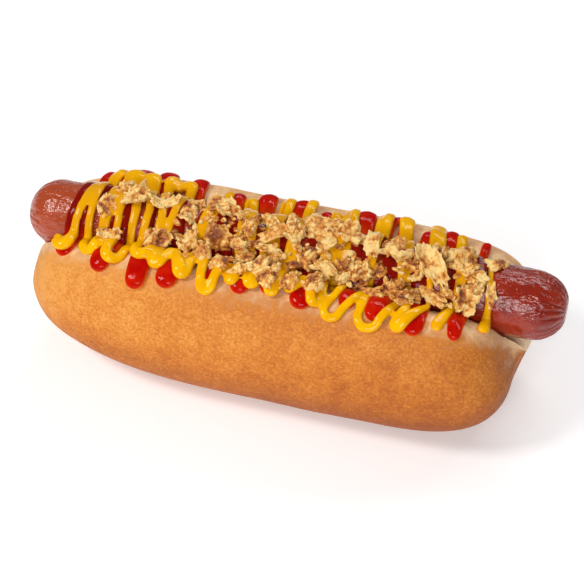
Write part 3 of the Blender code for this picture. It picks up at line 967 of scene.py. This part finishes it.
@dataclass
class SauceString:
    """A string of sauce piped in a zigzag.

    Each turn is (X in mm, angle in degrees, width of the turn in mm, width of the string there in mm). Half
    a circle of the turn's width joins two straight runs, and a width of 0 is a plain point. Over the
    sausage, inside over_span in degrees, the string shrinks to a share of its width and lies flatter.
    """

    node: str
    name: str
    slot: str
    finish: Sauce
    turns: tuple
    over: float
    flat: float
    seed: int
    plump: float = 0.30
    uneven: float = 0.14
    square: float = 0.8
    sink: float = 0.0004
    ball: float = 0.0012
    step: float = 0.0003
    bend_points: int = 13
    sides: int = 14
    voxel: float = 0.00050
    over_span: tuple = (30, 20)
    edge_span: tuple = (0.80, 0.15)

    def path(self, arm: float) -> tuple[np.ndarray, np.ndarray, np.ndarray]:
        """X, angle and width along the string, softened and given a slow wander.

        Args:
            arm: turns an angle into a length.

        Returns:
            The three arrays.
        """
        swing = np.radians(np.linspace(-90, 90, self.bend_points))
        corners = []
        for x, degrees, turn, width in self.turns:
            bend, angle = turn * MM / 2, math.radians(degrees)
            back = math.copysign(bend / arm, angle) * (1 - np.cos(swing))
            broad = np.full_like(swing, width * MM)
            corners.append(np.column_stack([x * MM + bend * np.sin(swing), angle - back, broad]))
        corners = np.concatenate(corners)
        gaps = np.hypot(np.diff(corners[:, 0]), np.diff(corners[:, 1]) * arm)
        length = np.concatenate([[0], np.cumsum(gaps)])
        run = np.arange(0, length[-1], self.step)
        x, angle, width = (np.interp(run, length, column) for column in corners.T)
        spot = np.stack([run, np.full_like(run, self.seed * 0.1), np.zeros_like(run)], -1)
        x = soften(x + 0.0005 * noise(spot, 0.014, self.seed), 5)
        angle = soften(angle + 0.012 * noise(spot, 0.018, self.seed + 1), 5)
        return x, angle, width * (1 + self.uneven * noise(spot, 0.009, self.seed + 2))

    def lay(self, spread: Spread) -> Surface:
        """Rests the string on the map and gives it its section.

        The section is a superellipse, wider than high, which shrinks along a quarter circle at both ends.

        Args:
            spread: what lies below; the string is added to it.

        Returns:
            The string's surface, before its runs are fused.
        """
        x, angle, width = self.path(spread.arm)
        over = ease(np.abs(np.degrees(angle)), *self.over_span)
        wide = width * (1 + (self.over - 1) * over) / 2
        high = wide * 2 * self.plump * (1 + (self.flat - 1) * over)
        ground = spread.rest(x, angle, self.ball) - self.ball
        ground = np.maximum(soften(ground, 24), soften(ground, 4) - 0.0004)
        centre = soften(ground, 6) + high - self.sink
        points = spread.place(x, angle, centre)
        up = spread.outward(angle)
        ahead = unit(np.gradient(points, axis=0))
        side = unit(np.cross(ahead, up))
        up = np.cross(side, ahead)
        run = np.arange(len(x)) * self.step
        tip = np.clip(np.minimum(run, run[-1] - run) / wide, 0, 1)
        size = np.maximum(np.sqrt(1 - (1 - tip) ** 2), 0.05)[:, None, None]
        lap = np.linspace(0, 2 * math.pi, self.sides, endpoint=False)[None, :, None]
        aside = np.sign(np.cos(lap)) * np.abs(np.cos(lap)) ** self.square
        above = np.sign(np.sin(lap)) * np.abs(np.sin(lap)) ** self.square
        rings = points[:, None] + size * (
            wide[:, None, None] * aside * side[:, None] + high[:, None, None] * above * up[:, None]
        )
        turned = (side[:, 1] * np.cos(angle) - side[:, 2] * np.sin(angle)) / spread.arm
        for share, drop in ((-0.6, 0.8), (0, 1), (0.6, 0.8)):
            reach = share * wide
            top = centre + high * drop - self.ball
            spread.deposit(x + side[:, 0] * reach, angle + turned * reach, top, self.ball)
        return Surface(rings, tube_faces(len(run), self.sides)).outward()

    def fuse(self, piece: bpy.types.Object) -> None:
        """Makes one skin of the string's runs where they touch, lets it settle, and gives it its marks.

        Thin_and_shaded is 1 over the sausage, where the sauce is darker, partly thin and partly painted
        shade.
        Edge is 1 elsewhere, where the skin turns away from the outward direction; mustard's edge tone there
        is painted shade.

        Args:
            piece: the string's object, whose mesh is exchanged.
        """
        remesh = piece.modifiers.new("fuse", "REMESH")
        remesh.mode = "VOXEL"
        remesh.voxel_size = self.voxel
        settle = piece.modifiers.new("settle", "SMOOTH")
        settle.factor = 0.6
        settle.iterations = 5
        graph = bpy.context.evaluated_depsgraph_get()
        mesh = bpy.data.meshes.new_from_object(piece.evaluated_get(graph))
        piece.modifiers.clear()
        piece.data = mesh
        mesh.shade_smooth()
        points = np.empty(len(mesh.vertices) * 3, np.float32)
        normals = np.empty_like(points)
        mesh.vertices.foreach_get("co", points)
        mesh.vertex_normals.foreach_get("vector", normals)
        points, normals = points.reshape(-1, 3), normals.reshape(-1, 3)
        slope = np.arctan2(points[:, 1], points[:, 2] - Spread.height)
        facing = normals[:, 1] * np.sin(slope) + normals[:, 2] * np.cos(slope)
        over = ease(np.abs(np.degrees(slope)), *self.over_span)
        marks = {"thin_and_shaded": over, "edge": ease(facing, *self.edge_span) * (1 - over)}
        for mark, values in marks.items():
            layer = mesh.attributes.new(mark, "FLOAT", "POINT")
            layer.data.foreach_set("value", values.astype(np.float32))

    def build(self, spread: Spread) -> bpy.types.Object:
        """Makes the sauce in place of its plain node.

        Args:
            spread: what lies below.

        Returns:
            The sauce's object.
        """
        piece = self.lay(spread).piece(self.name, self.finish.build())
        self.fuse(piece)
        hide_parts(self.node)
        return piece


KETCHUP = SauceString(
    node="ketchup",
    name="ketchup_string",
    slot="ketchup",
    finish=Sauce(
        name="ketchup_red",
        light=(0.54, 0.010, 0.0),
        deep=(0.41, 0.001, 0.0),
        # Darker over the sausage: thin ketchup on the dark skin, and painted shade.
        thin_and_shaded=(0.20, 0.004, 0.001),
        edge=(0.74, 0.110, 0.003),
        roughness=0.07,
        gloss=0.09,
    ),
    turns=(
        (-71, 41, 0, 3.8), (-72, -37.5, 2.0, 5.0), (-60.5, 43.5, 5.5, 4.6), (-57, -42.8, 2.0, 4.6),
        (-51, 43, 2.0, 4.6), (-43.2, -47.6, 1.8, 5.0), (-39, 43, 1.6, 4.4), (-32.8, -45.2, 2.6, 5.0),
        (-24.5, 37, 1.2, 4.0), (-21, -40, 2.0, 4.4), (-14, 41, 2.6, 4.2), (-9.6, -41, 2.2, 4.6),
        (-1.2, 41, 3.0, 4.4), (0, -37.4, 2.0, 4.4), (7.2, 36.5, 0.8, 3.6), (11, -41.5, 3.0, 4.6),
        (20.5, 43, 2.2, 4.0), (25.5, -38, 2.0, 4.0), (31.5, 43, 4.5, 4.2), (35, -41, 2.2, 4.6),
        (42.3, 38, 1.0, 3.4), (47.2, -43.8, 2.6, 4.6), (49.3, 42, 0.8, 3.6), (59.8, -42.6, 0.6, 3.8),
        (61.5, 43, 0, 3.4),
    ),
    over=0.90,
    flat=0.6,
    seed=21,
)
MUSTARD = SauceString(
    node="mustard",
    name="mustard_string",
    slot="mustard",
    finish=Sauce(
        name="mustard_yellow",
        light=(0.88, 0.46, 0.0),
        deep=(0.80, 0.37, 0.0),
        # Darker over the sausage: painted shade.
        thin_and_shaded=(0.72, 0.33, 0.001),
        # The darker edge tone is painted shade along the string's sides.
        edge=(0.68, 0.27, 0.0),
        roughness=0.11,
        gloss=0.15,
    ),
    turns=(
        (-76.5, -33, 0, 3.6), (-72.8, -35.5, 4.6, 4.2), (-70.2, -12, 0, 3.8), (-68.0, 41, 1.6, 3.6),
        (-66.4, -12, 0, 3.4), (-63.6, -35.5, 6.2, 4.2), (-60.8, -5, 0, 6.2), (-61.5, 33.5, 3.2, 4.2),
        (-56.6, -8, 0, 3.6), (-53.8, -38.5, 5.0, 4.2), (-51.4, -8, 0, 4.0), (-55.2, 33, 2.4, 4.2),
        (-46.6, -6, 0, 3.8), (-44.6, -33.5, 5.0, 3.8), (-42.6, -6, 0, 3.6), (-47.2, 33.5, 3.0, 4.2),
        (-41.0, 33, 3.0, 4.0), (-38.6, -6, 0, 3.8), (-38.3, -36.8, 3.0, 4.0), (-34.5, -29, 1.5, 3.4),
        (-28.6, -39.5, 1.6, 4.8), (-27.4, 35, 0.6, 3.2), (-24.0, -24, 0, 3.6), (-19.8, -45.6, 4.3, 3.3),
        (-16.4, -30, 1.2, 3.4), (-12.8, -38.5, 2.0, 3.6), (-19.4, 37, 1.0, 3.6), (-6, -37, 1.6, 4.2),
        (-7.1, 39, 1.4, 3.8), (1.2, -40, 2.2, 3.6), (1.8, 39, 0.6, 3.4), (6.5, -36, 2.5, 3.4),
        (11, -31, 2.0, 3.6), (15.2, -40.2, 2.6, 3.8), (11, 36.5, 1.0, 3.8), (18.4, -29, 0.6, 3.0),
        (15.5, 43, 1.4, 3.6), (22.0, -28, 0, 2.8), (21.6, -46.6, 5.2, 2.9), (29.6, -28, 0, 2.8),
        (26.4, 42, 2.4, 3.6), (30.5, -33, 0, 3.2), (33.4, -47.2, 6.6, 3.1), (41, -30, 0, 3.2),
        (34.2, 40, 2.8, 3.6), (44, -32, 0, 2.6), (42.5, -44.6, 1.4, 4.6), (50, -30, 0, 2.4),
        (44.8, 44, 1.8, 3.8), (55.5, -30, 0, 2.8), (54.6, -40.4, 0.8, 3.6), (58, -26, 0.8, 2.6),
        (53.5, 39, 1.0, 3.6), (58.5, -20, 1.0, 2.8), (62.5, 27, 5.0, 2.8), (68.2, -20, 0, 2.8),
        (68, -36.5, 0, 4.2),
    ),
    over=0.84,
    flat=0.72,
    seed=42,
)


class Crisp(Enum):
    """The kinds of fried onion.

    Each is (half thickness in mm, crumple, ragged rim, bubbles in mm, bend, rows, points round). Crumple is a
    share of the width, the rim a share of its radius, and the bend is in radians over the length.
    """

    CHIP = (0.31, 0.22, 0.46, 0.56, 1.4, 30, 60)
    CLUMP = (0.80, 0.32, 0.56, 0.90, 0.5, 34, 60)
    STRIP = (0.37, 0.26, 0.50, 0.52, 1.2, 30, 52)
    CRUMB = (0.40, 0.10, 0.40, 0.20, 0.3, 5, 8)


@dataclass(frozen=True)
class Flake:
    """One flake: its place in mm and degrees, size in mm, heading in degrees and how toasted it is."""

    x: float
    angle: float
    length: float
    width: float
    heading: float
    toast: float

    def row(self) -> tuple:
        """The same in metres and radians."""
        size = (self.length * MM, self.width * MM)
        return (self.x * MM, math.radians(self.angle), *size, math.radians(self.heading), self.toast)


@dataclass
class OnionFlakes:
    """Crisp flakes of one kind in one mesh: ragged, curled and crumpled, with bubbles all over."""

    name: str
    kind: Crisp
    flakes: list[Flake]
    seed: int

    def shapes(self, rows: np.ndarray) -> tuple[np.ndarray, np.ndarray]:
        """Every flake about its own middle.

        A flake is a flattened ball: its rim follows an ellipse with noise on its radius. It is crumpled by
        noise that both faces share, hollowed or arched across its width by a parabola, and covered by
        bubbles of two sizes that the faces don't share. Then it is bent round a cylinder, swept sideways,
        twisted along its length, rolled, tilted and turned to its heading. The mark rises with the flake's
        toast, varies in patches, and falls at the rim; it rises between the bubbles as painted shade and
        falls on their tops as painted light.

        Args:
            rows: the flakes' places, sizes, headings and toast.

        Returns:
            The points, and the mark toast at each, with painted light and shade in it.
        """
        half, crumple, ragged, bubble, bend, levels, around = self.kind.value
        count = len(rows)
        length, width, heading, toast = (rows[:, k][:, None, None] for k in range(2, 6))
        own = np.random.default_rng(self.seed).uniform(-1, 1, (count, 8))[:, :, None, None]
        tight, way, sweep, twist, roll, tilt, hollow, _ = own.swapaxes(0, 1)
        fall = np.linspace(0, math.pi, levels + 2)[1:-1][None, :, None]
        lap = np.linspace(0, 2 * math.pi, around, endpoint=False)[None, None, :]
        share = np.sin(fall) ** 0.7
        side = np.cos(fall) / np.sqrt(np.cos(fall) ** 2 + 0.03)
        shift = np.arange(count)[:, None, None] * 7.3
        rim = np.stack(np.broadcast_arrays(np.cos(lap), np.sin(lap), shift), -1)
        waves = zip((0.95, 0.42, 0.17), (0.55, 0.45, 0.40))
        wave = sum(part * noise(rim, size, self.seed + k) for k, (size, part) in enumerate(waves))
        edge = 1 + ragged * wave
        plan_x, plan_y = length / 2 * share * edge * np.cos(lap), width / 2 * share * edge * np.sin(lap)
        flat = np.stack(np.broadcast_arrays(plan_x, plan_y, shift * 0.01), -1)
        thick = half * MM * (1 + 0.5 * noise(flat, 0.0022, self.seed + 4))
        skin = thick * side * np.abs(np.cos(fall)) ** 0.4
        face = flat + np.stack(np.broadcast_arrays(0, 0, skin), -1)
        puff = 0.55 * bubbles(face, 0.0015, self.seed + 5) + 0.45 * bubbles(face, 0.0008, self.seed + 8)
        swell = 1 + 0.30 * (puff - 0.5) * share**4
        plan_x, plan_y = plan_x * swell, plan_y * swell
        lift = crumple * width * rough_noise(flat, 0.0036, 3, self.seed + 2) + skin
        lift = lift + bubble * MM * puff * side + 1.1 * hollow * plan_y**2 / width
        radius = length / (bend * (0.65 + 0.5 * tight) * np.where(way < 0.3, -1, 1))
        turn, arm = plan_x / radius, radius - lift
        local = np.stack([arm * np.sin(turn), plan_y, radius - arm * np.cos(turn)], -1)
        local[..., 1] += sweep * 0.18 * plan_x**2 / length
        turns = (
            (twist * 0.8 * plan_x / length, 1, 2),
            (roll * 0.42, 1, 2),
            (tilt * 0.36, 0, 2),
            (heading, 0, 1),
        )
        for angle, first, second in turns:
            local = self._turned(local, angle, first, second)
        patch = noise(flat, 0.0019, self.seed + 7)
        # Painted shade between the bubbles and painted light on their tops: the (0.45 - puff) term.
        shade = 0.27 + 0.66 * toast + 0.50 * patch + 1.00 * (0.45 - puff) - 0.25 * share**8
        return local, np.broadcast_to(shade, plan_x.shape)

    def surface(self, spread: Spread) -> Surface:
        """The flakes, each resting on what lies below it and on the flakes before it.

        Args:
            spread: what lies below; the flakes are added to it.

        Returns:
            The surface, with the mark toast, with painted light and shade in it.
        """
        rows = np.array([flake.row() for flake in self.flakes])
        local, toast = self.shapes(rows)
        low = local[..., 2].min((1, 2))
        base = np.zeros(len(rows))
        for number, (x, angle, length, width, heading, _) in enumerate(rows):
            ball = max(0.22 * width, 1.5 * spread.step)
            spot = (np.array([x]), np.array([angle]))
            base[number] = spread.rest(*spot, ball)[0] - ball - 0.38 * low[number] - 0.0002
            reach = np.array([-0.28, 0.0, 0.28]) * length
            along, aside = x + reach * math.cos(heading), angle + reach * math.sin(heading) / spread.arm
            spread.deposit(along, aside, np.full(3, base[number]), 0.0009)
        x, angle = rows[:, 0], rows[:, 1]
        up = spread.outward(angle)[:, None, None]
        aside = np.stack([np.zeros_like(angle), np.cos(angle), -np.sin(angle)], -1)[:, None, None]
        points = spread.place(x, angle, base)[:, None, None] + local[..., 1:2] * aside + local[..., 2:] * up
        points[..., 0] += local[..., 0]
        levels, around = local.shape[1:3]
        return Surface(points, tube_faces(levels, around, len(rows)), {"toast": toast}).outward()

    @staticmethod
    def _turned(points: np.ndarray, angle: np.ndarray, first: int, second: int) -> np.ndarray:
        """The points turned in the plane of two axes."""
        out = points.copy()
        out[..., first] = points[..., first] * np.cos(angle) - points[..., second] * np.sin(angle)
        out[..., second] = points[..., first] * np.sin(angle) + points[..., second] * np.cos(angle)
        return out

    def build(self, spread: Spread, material: bpy.types.Material, nodes: tuple[str, ...]) -> bpy.types.Object:
        """Makes the flakes.

        Args:
            spread: what lies below.
            material: their finish.
            nodes: the plain nodes that they stand for.

        Returns:
            The flakes' object.
        """
        piece = self.surface(spread).piece(self.name, material)
        if nodes:
            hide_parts(*nodes)
        return piece


@dataclass
class Onions:
    """All the fried onion on top: the heap, and the flakes beside it.

    The heap's outline is a row of (X in mm, front edge, back edge in degrees). Some flakes have their own
    places. The others are drawn at random inside the outline from loose_from on, and crumbs from its start.
    Each row of drawn is (name, kind, count, (shortest, longest, narrowest, widest in mm)).
    """

    outline: tuple = (
        (-37, -27, -4), (-32, -30, 7), (-22, -33, 10), (-13, -33, 5), (-4, -35, 3), (3, -35, 6),
        (10, -34, 11), (19, -32, 5), (26, -31, 2), (34, -32, 0), (42, -31, 0), (50, -25, 2),
        (57, -26, 2), (64, -26, -1),
    )
    lone: tuple = (
        (Crisp.CHIP, Flake(-61, -10, 8.5, 5.5, 105, 0.15), "onion_flake_01"),
        (Crisp.CHIP, Flake(-57, -24, 9.5, 5, 15, 0.4), "onion_flake_02"),
        (Crisp.CLUMP, Flake(-52.5, -1, 9, 6.5, 60, 0.35), "onion_flake_03"),
        (Crisp.CHIP, Flake(-44, 0, 10, 6.5, 30, 0.05), "onion_flake_04"),
        (Crisp.CLUMP, Flake(-42, -21, 9, 7.5, 5, 0.65), "onion_flake_05"),
        (Crisp.CHIP, Flake(68, 4, 9, 5.5, 35, 0.45), "onion_flake_06"),
    )
    clumps: tuple = (
        Flake(-31, -20, 9, 6.5, 100, 0.35), Flake(-21, -14, 10, 7.5, 5, 0.75),
        Flake(-25, -26, 8.5, 5.5, 115, 0.4), Flake(-22, 6, 9, 6.5, 160, 0.3), Flake(20, 2, 9, 7, 165, 0.2),
        Flake(37, -5, 9, 7, 10, 0.15), Flake(37, -25, 8.5, 8, 55, 0.6), Flake(61, -21, 8.5, 7, 85, 0.35),
        Flake(56, 3, 8, 6, 35, 0.1), Flake(-58, 5, 6, 4.5, 40, 0.3), Flake(-33, 8, 6, 5, 20, 0.2),
    )
    chips: tuple = (
        Flake(-34, -5, 9.5, 6, 95, 0.45), Flake(-27, 8, 9, 5, 95, 0.85), Flake(9, 5, 16, 9.5, 140, 0.25),
        Flake(28, -2, 12, 5, 100, 0.2), Flake(32, -14, 8, 5, 90, 0.75),
    )
    strips: tuple = (
        Flake(-3, -7, 13, 4, 25, 0.45), Flake(49, -10, 17, 6.5, 140, 0.15), Flake(50, -22, 13, 4, 155, 0.35),
        Flake(68, -14, 12, 3.5, 100, 0.4),
    )
    drawn: tuple = (
        ("onion_clumps", Crisp.CLUMP, 34, (5, 8, 4, 6.5)),
        ("onion_chips", Crisp.CHIP, 30, (4, 8, 2.5, 4.5)),
        ("onion_strips", Crisp.STRIP, 18, (6, 11, 2.2, 3.4)),
        ("onion_crumbs", Crisp.CRUMB, 260, (1.2, 3.2, 1, 2.2)),
    )
    clearing: float = 4.0
    loose_from: float = -19
    draw_seed: int = 51
    heap_seed: int = 60
    lone_seed: int = 300
    seed_step: int = 20

    def scattered(self, count: int, start: float, sizes: tuple, seed: int) -> list[Flake]:
        """Random flakes inside the heap's outline, clear of those that have their own places.

        Args:
            count: how many are drawn.
            start: the least X, in mm.
            sizes: shortest and longest length, and least and greatest width, in mm.
            seed: fixes the draw.

        Returns:
            The flakes.
        """
        chance = np.random.default_rng(seed)
        table = np.array(self.outline, float)
        taken = np.array([(flake.x, flake.angle) for flake in self.clumps + self.chips + self.strips])
        x = chance.uniform(start, table[-1, 0], count)
        front, back = (np.interp(x, table[:, 0], table[:, k]) for k in (1, 2))
        angle = front + (back - front) * chance.uniform(0, 1, count)
        length, width = chance.uniform(*sizes[:2], count), chance.uniform(*sizes[2:], count)
        heading, toast = chance.uniform(0, 180, count), chance.uniform(0, 1, count) ** 1.3
        degree = math.radians(1) * Spread.arm / MM
        gap = np.hypot(x[:, None] - taken[:, 0], (angle[:, None] - taken[:, 1]) * degree).min(1)
        rows = np.column_stack([x, angle, length, width, heading, toast])
        return [Flake(*row) for row in rows[gap > self.clearing]]

    def build(self, spread: Spread) -> list[bpy.types.Object]:
        """Makes every flake, kind by kind.

        Args:
            spread: what lies below.

        Returns:
            The objects.
        """
        material = FriedOnion().build()
        made = []
        placed = (self.clumps, self.chips, self.strips, ())
        for number, (name, kind, count, sizes) in enumerate(self.drawn):
            crumbs = kind is Crisp.CRUMB
            start = self.outline[0][0] if crumbs else self.loose_from
            loose = self.scattered(count, start, sizes, self.draw_seed + number)
            seed = self.heap_seed + self.seed_step * number
            flakes = OnionFlakes(name, kind, [*loose, *placed[number]], seed)
            made.append(flakes.build(spread, material, () if crumbs else ("onion_heap",)))
        for number, (kind, flake, node) in enumerate(self.lone):
            seed = self.lone_seed + self.seed_step * number
            single = OnionFlakes(f"lone_flake_{number + 1:02d}", kind, [flake], seed)
            made.append(single.build(spread, material, (node,)))
        return made


# ------------------------------------------------------------------------------
# The studio
# ------------------------------------------------------------------------------


@dataclass
class Studio:
    """A pale floor, soft lights and the camera."""

    azimuth: float = 17
    elevation: float = 41
    distance: float = 0.49
    lens: float = 90
    target: tuple = (0.0008, 0.0, 0.0290)
    floor_half: float = 3.0
    sky: float = 0.20
    softboxes: tuple = (
        ("key", (-0.44, -0.30, 0.58), (0.20, 0.20), 2.9, (1.0, 0.985, 0.96)),
        ("front", (0.08, -0.54, 0.33), (0.28, 0.20), 1.9, (1.0, 1.0, 1.0)),
        ("strip", (0.10, 0.40, 0.52), (0.70, 0.08), 1.9, (1.0, 1.0, 1.0)),
    )

    def floor(self) -> None:
        """A wide floor under the hot dog."""
        half = self.floor_half
        points = np.array([[-half, -half, 0], [half, -half, 0], [half, half, 0], [-half, half, 0]])
        piece = Surface(points, [np.array([[0, 1, 2, 3]])]).piece("floor", Tabletop().build())

    def softbox(self, name: str, spot: tuple, size: tuple, power: float, tint: Colour) -> None:
        """One rectangular light, turned towards the hot dog.

        Args:
            name: its name.
            spot: where it stands.
            size: its width and height.
            power: in watts.
            tint: its colour.
        """
        data = bpy.data.lights.new(name, "AREA")
        data.shape = "RECTANGLE"
        data.size, data.size_y = size
        data.energy = power
        data.color = tint
        light = bpy.data.objects.new(name, data)
        light.location = spot
        light.rotation_mode = "QUATERNION"
        light.rotation_quaternion = (Vector(self.target) - Vector(spot)).to_track_quat("-Z", "Y")
        bpy.context.scene.collection.objects.link(light)

    def lights(self) -> None:
        """A key from the upper left, one by the camera, a strip behind, and a pale sky."""
        for box in self.softboxes:
            self.softbox(*box)
        world = bpy.data.worlds.new("studio")
        world.use_nodes = True
        background = world.node_tree.nodes["Background"]
        background.inputs["Color"].default_value = (1, 1, 1, 1)
        background.inputs["Strength"].default_value = self.sky
        bpy.context.scene.world = world

    def camera(self) -> None:
        """The camera, looking down at the front from the right."""
        turn, tilt = math.radians(self.azimuth), math.radians(self.elevation)
        back = Vector((math.sin(turn) * math.cos(tilt), -math.cos(turn) * math.cos(tilt), math.sin(tilt)))
        data = bpy.data.cameras.new("camera")
        data.lens = self.lens
        data.clip_start = 0.01
        camera = bpy.data.objects.new("camera", data)
        camera.location = Vector(self.target) + back * self.distance
        camera.rotation_mode = "QUATERNION"
        camera.rotation_quaternion = (-back).to_track_quat("-Z", "Y")
        bpy.context.scene.collection.objects.link(camera)
        bpy.context.scene.camera = camera
        bpy.context.scene.view_settings.view_transform = "Standard"

    def build(self) -> None:
        """Sets the whole studio up."""
        self.floor()
        self.lights()
        self.camera()


def main() -> None:
    """Builds the hot dog from the roll up, then the studio."""
    logging.basicConfig(level=logging.INFO, format="%(message)s")
    sausage = Sausage()
    roll = Roll(sausage)
    spread = Spread()
    spread.cover(roll, sausage)
    pieces = [roll.build(), sausage.build(), KETCHUP.build(spread), MUSTARD.build(spread)]
    pieces += Onions().build(spread)
    for piece in pieces:
        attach(piece, "root")
        LOG.info("%s: %d faces", piece.name, len(piece.data.polygons))
    Studio().build()


if __name__ == "__main__":
    main()
